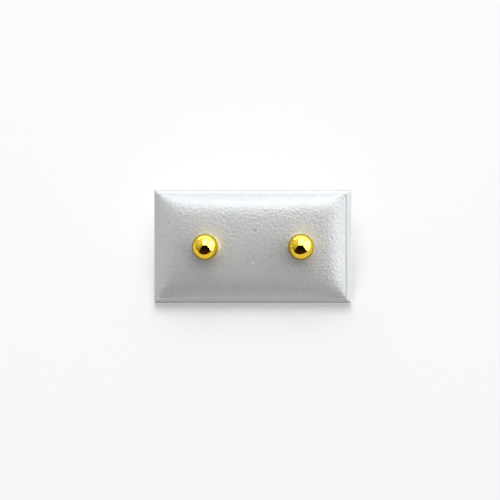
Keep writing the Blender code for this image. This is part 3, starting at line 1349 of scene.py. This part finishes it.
@dataclass
class FrayedEdge:
    """Crumbs of the cover's dark backing that show along its cut edge."""

    space: CardSpace
    lower_margin: float = 0.00022
    crumb_length: float = 0.00022
    crumb_width: float = 0.00006
    end_gap: float = 0.0005
    level_rise: float = 0.00009
    first_seed: int = 3

    def tree(self) -> bpy.types.NodeTree:
        """The geometry tree that lays crumbs along a line.

        Returns:
            The tree, with inputs for the crumbs' number and size.
        """
        numbers = {
            "Count": 40,
            "Crumb Length": self.crumb_length,
            "Crumb Width": self.crumb_width,
            "Slide": 0.0003,
            "Seed": self.first_seed,
        }
        group = open_geometry("frayed_edge", numbers)
        wiring, start, _ = group
        given = start.outputs
        line = wiring.add("GeometryNodeMeshToCurve", {0: given["Geometry"]}).outputs[0]
        points = {"Curve": line, "Count": given["Count"]}
        spread = wiring.add("GeometryNodeCurveToPoints", points, mode="COUNT").outputs
        span = {2: -1.0, 3: 1.0, "Seed": given["Seed"]}
        jitter = wiring.add("FunctionNodeRandomValue", span, data_type="FLOAT").outputs[1]
        along = wiring.scaled(spread["Tangent"], wiring.sum("MULTIPLY", jitter, given["Slide"]))
        slid = wiring.add("GeometryNodeSetPosition", {"Geometry": spread[0], "Offset": along})
        sizes = {0: (0.35, 0.5, 0.5), 1: (1.3, 1.1, 1.2), "Seed": given["Seed"]}
        size = wiring.add("FunctionNodeRandomValue", sizes, data_type="FLOAT_VECTOR")
        ball = wiring.add("GeometryNodeMeshIcoSphere", {"Radius": 0.5, "Subdivisions": 1})
        lengths = {0: given["Crumb Width"], 1: given["Crumb Width"], 2: given["Crumb Length"]}
        wide = wiring.add("ShaderNodeCombineXYZ", lengths).outputs[0]
        crumb = wiring.add("GeometryNodeTransform", {"Geometry": ball.outputs[0], "Scale": wide})
        laying = {
            "Points": slid.outputs[0],
            "Instance": crumb.outputs[0],
            "Rotation": spread["Rotation"],
            "Scale": size.outputs[0],
        }
        laid = wiring.add("GeometryNodeInstanceOnPoints", laying)
        return close_geometry(group, laid.outputs[0])

    def build(self, material: bpy.types.Material) -> bpy.types.Object:
        """Lay the crumbs along the four edges, as one piece.

        Args:
            material: The frayed backing.

        Returns:
            The piece.
        """
        pad = self.space.box("puff_pad")
        level = pad.low.z + self.level_rise
        low_y = pad.low.y + self.lower_margin
        left, right = pad.low.x + self.end_gap, pad.high.x - self.end_gap
        foot, head = low_y + self.end_gap, pad.high.y - self.end_gap
        edges = (
            ("right", 46, (pad.high.x, foot, level), (pad.high.x, head, level)),
            ("top", 20, (left, pad.high.y, level), (right, pad.high.y, level)),
            ("bottom", 60, (left, low_y, level), (right, low_y, level)),
            ("left", 40, (pad.low.x, foot, level), (pad.low.x, head, level)),
        )
        tree = self.tree()
        shape = bmesh.new()
        for seed, (edge, count, first, last) in enumerate(edges, start=self.first_seed):
            line = bpy.data.meshes.new(f"edge_{edge}")
            line.from_pydata([first, last], [(0, 1)], [])
            values = {"Count": count, "Seed": seed, "Material": material}
            laid = grown(f"crumbs_{edge}", line, tree, values)
            shape.from_mesh(laid)
            bpy.data.meshes.remove(laid)
        piece = self.space.place("frayed_edge", mesh_from("frayed_edge", shape), material)
        return piece


# The studs


@dataclass
class BallStud:
    """A polished ball soldered to its ear post."""

    space: CardSpace
    side: Side
    post_radius: float = 0.0004
    flare: float = 0.00022
    tip_round: float = 0.00016
    notch_from_tip: float = 0.0012
    notch_width: float = 0.0005
    notch_depth: float = 0.00012
    notch_curve: float = 0.7
    first_angle: float = 0.004
    tip_centre: float = 0.00002
    sides: int = 96
    ball_rings: int = 64
    turn_steps: int = 6
    notch_steps: int = 8

    def profile(self, extent: Extent) -> list[tuple[float, float]]:
        """The stud's half section from the top of the ball to the tip of the post.

        Args:
            extent: The stud's box.

        Returns:
            Radius and height of each point.
        """
        ball_radius = extent.radius
        centre = extent.high.z - ball_radius
        tip = extent.low.z
        collar = self.post_radius + self.flare
        last = math.pi - math.asin(collar / ball_radius)
        points = []
        for ring in range(self.ball_rings + 1):
            angle = max(last * ring / self.ball_rings, self.first_angle)
            points.append((ball_radius * math.sin(angle), centre + ball_radius * math.cos(angle)))
        neck = points[-1][1]
        for step in range(1, self.turn_steps + 1):
            angle = math.pi / 2 * step / self.turn_steps
            radius = collar - self.flare * math.sin(angle)
            points.append((radius, neck - self.flare * (1 - math.cos(angle))))
        top = tip + self.notch_from_tip + self.notch_width
        for step in range(self.notch_steps + 1):
            share = step / self.notch_steps
            inward = self.notch_depth * math.sin(math.pi * share) ** self.notch_curve
            points.append((self.post_radius - inward, top - self.notch_width * share))
        for step in range(self.turn_steps + 1):
            angle = math.pi / 2 * step / self.turn_steps
            radius = self.post_radius - self.tip_round * (1 - math.cos(angle))
            points.append((radius, tip + self.tip_round * (1 - math.sin(angle))))
        points.append((self.tip_centre, tip))
        return points

    def tree(self) -> bpy.types.NodeTree:
        """The geometry tree that turns a half section about its axis.

        Returns:
            The tree, with an input for the number of sides.
        """
        group = open_geometry("turned_metal", {"Sides": self.sides, "Sharp Angle": 0.6})
        wiring, start, _ = group
        given = start.outputs
        axis = wiring.add("GeometryNodeMeshToCurve", {0: given["Geometry"]})
        radius = wiring.add("GeometryNodeInputNamedAttribute", {"Name": "radius_here"}, data_type="FLOAT")
        ring = {"Resolution": given["Sides"], "Radius": 1.0}
        section = {
            "Curve": axis.outputs[0],
            "Profile Curve": wiring.add("GeometryNodeCurvePrimitiveCircle", ring).outputs[0],
            "Scale": radius.outputs["Attribute"],
            "Fill Caps": True,
        }
        swept = wiring.add("GeometryNodeCurveToMesh", section).outputs[0]
        bend = wiring.add("GeometryNodeInputMeshEdgeAngle").outputs["Unsigned Angle"]
        bends = {0: bend, 1: given["Sharp Angle"]}
        hard = wiring.add("FunctionNodeCompare", bends, data_type="FLOAT", operation="GREATER_THAN")
        shading = {"Geometry": swept, "Shade Smooth": True}
        soft = wiring.add("GeometryNodeSetShadeSmooth", shading, domain="FACE").outputs[0]
        shading = {"Geometry": soft, "Selection": hard.outputs[0], "Shade Smooth": False}
        crisp = wiring.add("GeometryNodeSetShadeSmooth", shading, domain="EDGE").outputs[0]
        return close_geometry(group, crisp)

    def build(self, material: bpy.types.Material) -> bpy.types.Object:
        """Build the stud and put it in place of its solid.

        Args:
            material: The polished gold.

        Returns:
            The piece.
        """
        node = f"ear_stud_{self.side.label}"
        extent = self.space.box(node)
        profile = self.profile(extent)
        line = bpy.data.meshes.new(f"axis_{self.side.label}")
        middle = extent.middle
        points = [(middle.x, middle.y, height) for _, height in profile]
        line.from_pydata(points, [(index, index + 1) for index in range(len(profile) - 1)], [])
        store(line, "radius_here", np.array([radius for radius, _ in profile]))
        mesh = grown(f"ball_stud_{self.side.label}", line, self.tree(), {"Material": material})
        piece = self.space.place(f"ball_stud_{self.side.label}", mesh, material)
        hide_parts(node)
        return piece


@dataclass
class FrictionBack:
    """A strip bent into a round plate with a curl on each side that grips the post."""

    space: CardSpace
    side: Side
    post_radius: float = 0.0004
    clearance: float = 0.0001
    strip: float = 0.00025
    plate_width: float = 0.0042
    wing_width: float = 0.0028
    curl_radius: float = 0.00105
    curl_turn: float = math.radians(285)
    curl_tightening: float = 0.00025
    plate_steps: int = 24
    curl_steps: int = 44
    end_share: float = 0.86
    end_steps: int = 4
    lanes: int = 5
    edge_softness: float = 0.00006
    hole_sides: int = 40
    overshoot: float = 0.0001
    sharp_degrees: float = 40.0

    def curl_at(self, turned: float) -> float:
        """The radius of the curl, which tightens as it turns."""
        return self.curl_radius - self.curl_tightening * turned / self.curl_turn

    def stations(self, extent: Extent) -> list[tuple[Vector, Vector, float]]:
        """The strip's centre line with its normals and half widths.

        Args:
            extent: The solid's box.

        Returns:
            Point, normal and half width of each station, end to end.
        """
        level = extent.high.z - self.strip / 2
        half_plate = self.post_radius + self.clearance + self.strip / 2 + self.curl_at(math.pi * 3 / 2)
        wing = self.wing_width / 2
        swell = self.plate_width / 2 - wing
        half = []
        for step in range(self.plate_steps + 1):
            along = math.sin(math.pi / 2 * step / self.plate_steps)
            width = wing + swell * math.sqrt(max(1 - along * along, 0.0))
            half.append((half_plate * along, level, 0.0, 1.0, width))
        for step in range(1, self.curl_steps + 1):
            turned = self.curl_turn * step / self.curl_steps
            x = half_plate + self.curl_at(turned) * math.sin(turned)
            z = level - self.curl_radius + self.curl_at(turned) * math.cos(turned)
            end = min((self.curl_steps - step) / self.end_steps, 1.0)
            fullness = math.sqrt(1 - (1 - end) ** 2)
            width = wing * (self.end_share + (1 - self.end_share) * fullness)
            half.append((x, z, math.sin(turned), math.cos(turned), width))
        mirrored = [(-x, z, -across, upward, width) for x, z, across, upward, width in reversed(half[1:])]
        middle = extent.middle
        return [
            (Vector((middle.x + x, middle.y, z)), Vector((across, 0, upward)), width)
            for x, z, across, upward, width in mirrored + half
        ]

    def strip_mesh(self, name: str, extent: Extent) -> bpy.types.Mesh:
        """Build the bent strip, still without its post hole.

        Args:
            name: The mesh's name.
            extent: The solid's box.

        Returns:
            The mesh.
        """
        points: list[Vector] = []
        faces: list[tuple[int, ...]] = []
        lanes = self.lanes
        sideways = Vector((0, 1, 0))
        stations = self.stations(extent)
        for point, normal, width in stations:
            for sign in (1, -1):
                for lane in range(lanes + 1):
                    share = sign * (2 * lane / lanes - 1)
                    points.append(point + sideways * width * share + normal * sign * self.strip / 2)
        around = 2 * (lanes + 1)
        for station in range(len(stations) - 1):
            first = station * around
            beyond = first + around
            for corner in range(around):
                following = (corner + 1) % around
                faces.append((first + corner, first + following, beyond + following, beyond + corner))
        last = (len(stations) - 1) * around
        for start in (0, last):
            far = start + around - 1
            for lane in range(lanes):
                faces.append((start + lane, start + lane + 1, far - lane - 1, far - lane))
        return mesh_of(name, points, faces)

    def drill_mesh(self, name: str, extent: Extent) -> bpy.types.Mesh:
        """Build the drill that cuts the post hole.

        Args:
            name: The mesh's name.
            extent: The solid's box.

        Returns:
            The mesh.
        """
        corners = circle(extent.middle, self.post_radius + self.clearance, self.hole_sides)
        levels = (extent.high.z - self.strip - self.overshoot, extent.high.z + self.overshoot)
        points = [(x, y, level) for level in levels for x, y in corners]
        count = self.hole_sides
        faces: list[tuple[int, ...]] = []
        for index in range(count):
            following = (index + 1) % count
            faces.append((index, following, following + count, index + count))
        faces += [tuple(range(count)), tuple(range(count, 2 * count))]
        return mesh_of(name, points, faces)

    def build(self, material: bpy.types.Material) -> bpy.types.Object:
        """Build the clutch and put it in place of its solid.

        Args:
            material: The pressed gold.

        Returns:
            The piece.
        """
        node = f"clutch_{self.side.label}"
        extent = self.space.box(node)
        carrier = linked(node + "_strip", self.strip_mesh(node + "_strip", extent))
        drill = linked(node + "_drill", self.drill_mesh(node + "_drill", extent))
        bore = carrier.modifiers.new("post hole", "BOOLEAN")
        bore.operation = "DIFFERENCE"
        bore.solver = "EXACT"
        bore.object = drill
        soften(carrier, "rolled edges", self.edge_softness, 3)
        mesh = flattened(carrier)
        discard(drill)
        smooth(mesh, self.sharp_degrees)
        piece = self.space.place(f"friction_back_{self.side.label}", mesh, material)
        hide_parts(node)
        return piece


# The studio


@dataclass(frozen=True)
class SoftBox:
    """A rectangular light that faces the card, with angles in degrees."""

    name: str
    azimuth: float
    elevation: float
    width: float
    height: float
    radiance: float
    shine: float = 0.0
    spares_table: bool = False
    distance: float = 0.50
    shine_distance: float = 0.97

    def build(self, target: Vector, lit: bpy.types.Collection, polished: bpy.types.Collection) -> None:
        """Hang the light, and close before it a second one that only the polished balls mirror.

        Args:
            target: The point that it faces.
            lit: The pieces, which a box that spares the table lights alone.
            polished: The balls.
        """
        lamp = self.hang(self.name, self.radiance, target)
        if self.spares_table:
            lamp.light_linking.receiver_collection = lit
        gleam = self.hang(f"{self.name}_shine", self.shine, target, self.shine_distance)
        gleam.visible_diffuse = False
        gleam.data.cycles.max_bounces = 0
        gleam.light_linking.receiver_collection = polished

    def hang(self, name: str, radiance: float, target: Vector, nearer: float = 1.0) -> bpy.types.Object:
        """Hang one light and aim it.

        Args:
            name: The light's name.
            radiance: How bright its face is.
            target: The point that it faces.
            nearer: The share of its distance and size that it hangs at.

        Returns:
            The light.
        """
        turn = math.radians(self.azimuth)
        rise = math.radians(self.elevation)
        way = Vector((math.sin(turn) * math.cos(rise), math.cos(turn) * math.cos(rise), math.sin(rise)))
        data = bpy.data.lights.new(name, "AREA")
        data.shape = "RECTANGLE"
        data.size = self.width * nearer
        data.size_y = self.height * nearer
        data.energy = radiance * math.pi * data.size * data.size_y
        lamp = linked(name, data)
        lamp.location = target + way * self.distance * nearer
        lamp.rotation_euler = way.to_track_quat("Z", "Y").to_euler()
        lamp.visible_camera = False
        return lamp


@dataclass
class Studio:
    """Pale table, soft boxes, the dark shape that the balls mirror, and the camera."""

    space: CardSpace
    floor_half: float = 1.6
    floor_tone: Colour = (0.96, 0.96, 0.955)
    floor_fibre: Colour = (0.8, 0.79, 0.77)
    floor_fibre_scale: float = 900.0
    floor_fibre_share: float = 0.03
    camera_distance: float = 0.45
    lens: float = 167.9
    sensor: float = 36.0
    aim_shift: tuple[float, float] = (-0.00056, -0.00058)
    aim_height: float = 0.0015
    tent_tone: Colour = (0.985, 0.99, 1.0)
    tent_across: tuple[float, float, float, float] = (-0.95, 0.75, 0.91, 0.64)
    tent_behind: tuple[float, float, float, float] = (-0.9, 0.9, 0.38, 1.25)
    tent_above: tuple[float, float, float, float] = (0.0, 0.8, 0.70, 1.14)
    # Glow of the painted reflection: dim brown low down, near black higher up.
    dark_low: Colour = (0.055, 0.02, 0.012)
    dark_high: Colour = (0.006, 0.005, 0.005)
    dark_blend: float = 0.12
    dark_clearance: float = 0.0005
    dark_reach: float = 0.2
    dark_outline: tuple[tuple[float, float, float], ...] = (
        (-0.16, 0.15, 0.40),
        (0.16, 0.15, 0.40),
        (0.44, -0.32, 0.0),
        (-0.05, -0.58, 0.0),
        (-0.49, -0.41, 0.0),
    )
    boxes: tuple[SoftBox, ...] = (
        SoftBox("box_top", 4.0, 75.0, 0.36, 0.60, radiance=1.76, shine=8.0),
        SoftBox("box_right", 92.0, 34.0, 0.70, 0.60, radiance=1.41, shine=8.0, spares_table=True),
        SoftBox("box_back", 12.0, 18.0, 1.30, 0.20, radiance=0.8, shine=6.5, spares_table=True),
    )
    edge_box: SoftBox = SoftBox("box_edge", 150.0, 14.0, 0.70, 0.30, radiance=1.6)

    def build(
        self, board: bpy.types.Object, studs: Sequence[bpy.types.Object], rest: Sequence[bpy.types.Object]
    ) -> None:
        """Set up everything round the object.

        Args:
            board: The card's board, whose cut edge has a light of its own.
            studs: The polished studs.
            rest: Every other piece of the object.
        """
        lit = gathered("lit", [board, *studs, *rest])
        polished = gathered("polished", studs)
        self.make_floor()
        self.make_world()
        self.make_dark_shape()
        card = self.space.box("backing_board")
        middle = Vector((card.middle.x, card.middle.y, self.aim_height))
        target = self.space.to_model @ middle
        for box in self.boxes:
            box.build(target, lit, polished)
        glow = self.edge_box.hang(self.edge_box.name, self.edge_box.radiance, target)
        glow.visible_glossy = False
        glow.light_linking.receiver_collection = gathered("edge_lit", [board])
        self.make_camera(middle)
        bpy.context.scene.view_settings.view_transform = "Standard"
        bpy.context.scene.view_settings.look = "None"

    def make_floor(self) -> None:
        """A pale matt table top."""
        half = self.floor_half
        mesh = bpy.data.meshes.new("table_top")
        corners = [(-half, -half, 0), (half, -half, 0), (half, half, 0), (-half, half, 0)]
        mesh.from_pydata(corners, [], [(0, 1, 2, 3)])
        wiring, shader, material = new_surface("table_paper")
        fibres = wiring.noise(wiring.place(), self.floor_fibre_scale, 2.0)
        tone = wiring.tinted(self.floor_tone, fibres, self.floor_fibre_share, self.floor_fibre)
        wiring.fill(shader, {"Base Color": tone, "Roughness": 0.8, "Specular IOR Level": 0.2})
        mesh.materials.append(material)
        floor = linked("table_top", mesh)

    def make_world(self) -> None:
        """Soft light from all round, brighter behind, above and to the left."""
        world = bpy.data.worlds.new("tent")
        world.use_nodes = True
        bpy.context.scene.world = world
        wiring = Wiring(world.node_tree)
        way = wiring.add("ShaderNodeTexCoord").outputs["Generated"]
        parts = wiring.add("ShaderNodeSeparateXYZ", {0: way}).outputs
        across = wiring.ramp(parts["X"], *self.tent_across)
        behind = wiring.ramp(parts["Y"], *self.tent_behind)
        above = wiring.ramp(parts["Z"], *self.tent_above)
        strength = wiring.sum("MULTIPLY", wiring.sum("MULTIPLY", across, behind), above)
        background = wiring.add("ShaderNodeBackground", {"Strength": strength, "Color": self.tent_tone})
        wiring.add("ShaderNodeOutputWorld", {0: background.outputs[0]})

    def make_dark_shape(self) -> None:
        """The dark shape in front of the card, which shows only in the balls."""
        stud = self.space.box("ear_stud_left")
        centre = self.space.to_model @ Vector((0.0, stud.middle.y, stud.high.z - stud.radius))
        turned = self.space.to_model.to_3x3()
        corners = []
        for across, up, reach in self.dark_outline:
            facing = math.sqrt(1 - across * across - up * up)
            way = turned @ Vector((2 * facing * across, 2 * facing * up, 2 * facing * facing - 1))
            if reach == 0.0:
                reach = (centre.z - self.dark_clearance) / -way.z if way.z < 0 else self.dark_reach
            corners.append(centre + way * reach)
        mesh = bpy.data.meshes.new("dark_shape")
        mesh.from_pydata(corners, [], [(0, 1, 2), (0, 2, 3), (0, 3, 4)])
        wiring, shader, material = new_surface("painted_dark_reflection")
        height = wiring.add("ShaderNodeSeparateXYZ", {0: wiring.place()}).outputs["Z"]
        # Painted reflection: the sheet glows dim brown low down, fading to near black higher up, for a
        # shaded body that only the balls mirror.
        looks = {
            "Emission Color": wiring.mixed(
                wiring.ramp(height, 0.0, self.dark_blend), self.dark_low, self.dark_high
            ),
            "Emission Strength": 1.0,
            "Base Color": (0.0, 0.0, 0.0),
            "Specular IOR Level": 0.0,
        }
        wiring.fill(shader, looks)
        mesh.materials.append(material)
        shape = linked("dark_shape", mesh)
        shape.visible_camera = False
        shape.visible_diffuse = False
        shape.visible_shadow = False
        shape.visible_transmission = False

    def make_camera(self, middle: Vector) -> None:
        """Look square onto the card, as the photograph does.

        Args:
            middle: The middle of the card, in its own axes.
        """
        data = bpy.data.cameras.new("camera")
        data.lens = self.lens
        data.sensor_width = self.sensor
        data.clip_start = 0.01
        data.clip_end = 10.0
        camera = linked("camera", data)
        seat = middle + Vector((*self.aim_shift, self.camera_distance))
        camera.matrix_world = self.space.to_model @ Matrix.Translation(seat)
        bpy.context.scene.camera = camera


def main() -> None:
    """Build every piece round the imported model, then the studio."""
    logging.basicConfig(level=logging.INFO, format="%(name)s %(message)s", stream=sys.stdout)
    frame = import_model()
    space = CardSpace.of(frame)
    effects = SharedEffects.build()
    leatherette = LeatheretteFinish().build(effects)
    mirror = GoldFinish(
        "polished_gold",
        face=(0.84, 0.57, 0.050),
        shade=(0.83, 0.55, 0.044),
        roughness=0.03,
        smear=0.02,
        scratch_depth=0.000003,
    )
    polished = mirror.build(effects)
    shine = GoldFinish(
        "clutch_gold",
        face=(0.93, 0.70, 0.25),
        shade=(0.86, 0.60, 0.18),
        roughness=0.16,
        smear=0.10,
        scratch_depth=0.00001,
    )
    pressed = shine.build(effects)
    board = BackingBoard(space).build(PaperboardFinish().build(effects))
    pad = PuffPad(space).build(leatherette)
    crumbs = FrayedEdge(space).build(CrumbFinish().build(effects))
    studs = [BallStud(space, side).build(polished) for side in Side]
    clutches = [FrictionBack(space, side).build(pressed) for side in Side]
    Studio(space).build(board, studs, [pad, crumbs, *clutches])
    bpy.context.view_layer.update()


if __name__ == "__main__":
    main()
